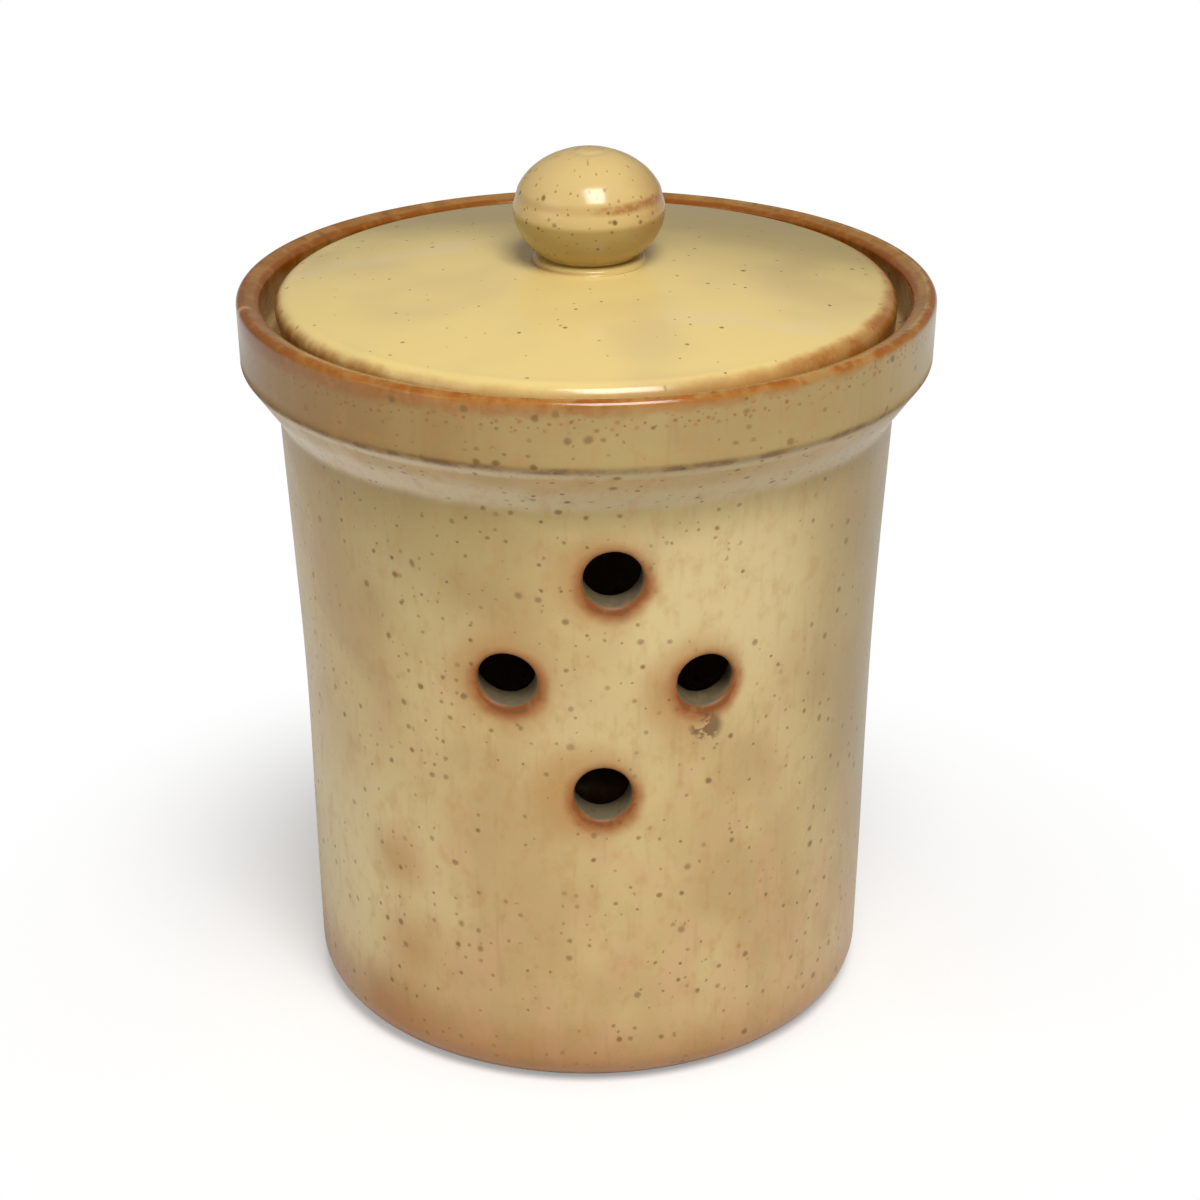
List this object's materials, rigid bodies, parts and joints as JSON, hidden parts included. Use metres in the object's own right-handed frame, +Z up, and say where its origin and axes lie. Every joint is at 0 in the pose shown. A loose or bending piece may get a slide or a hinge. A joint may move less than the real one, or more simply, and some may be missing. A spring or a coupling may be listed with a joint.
{
  "type": "ventilated storage jar",
  "caption": "Round stoneware storage jar with a heavy collar, vent holes in the front wall and a domed lid with a ball knob resting inside the collar.",
  "frame": {"origin": "on the jar's axis, at the plane its foot stands on", "axes": "+Z up along the jar's axis, -Y towards the front, where the vent holes are, +X to the right as seen from the front"},
  "size_m": [0.1106, 0.1104, 0.1417],
  "materials": {
    "jar_glaze": "glossy cream-tan glaze with iron speckles, breaking rust brown on the lip",
    "lid_glaze": "glossy cream glaze with iron speckles, breaking rust brown on the edge"
  },
  "bodies": {
    "root": {"jar": "jar_glaze", "lid": "lid_glaze"}
  },
  "joints": []
}
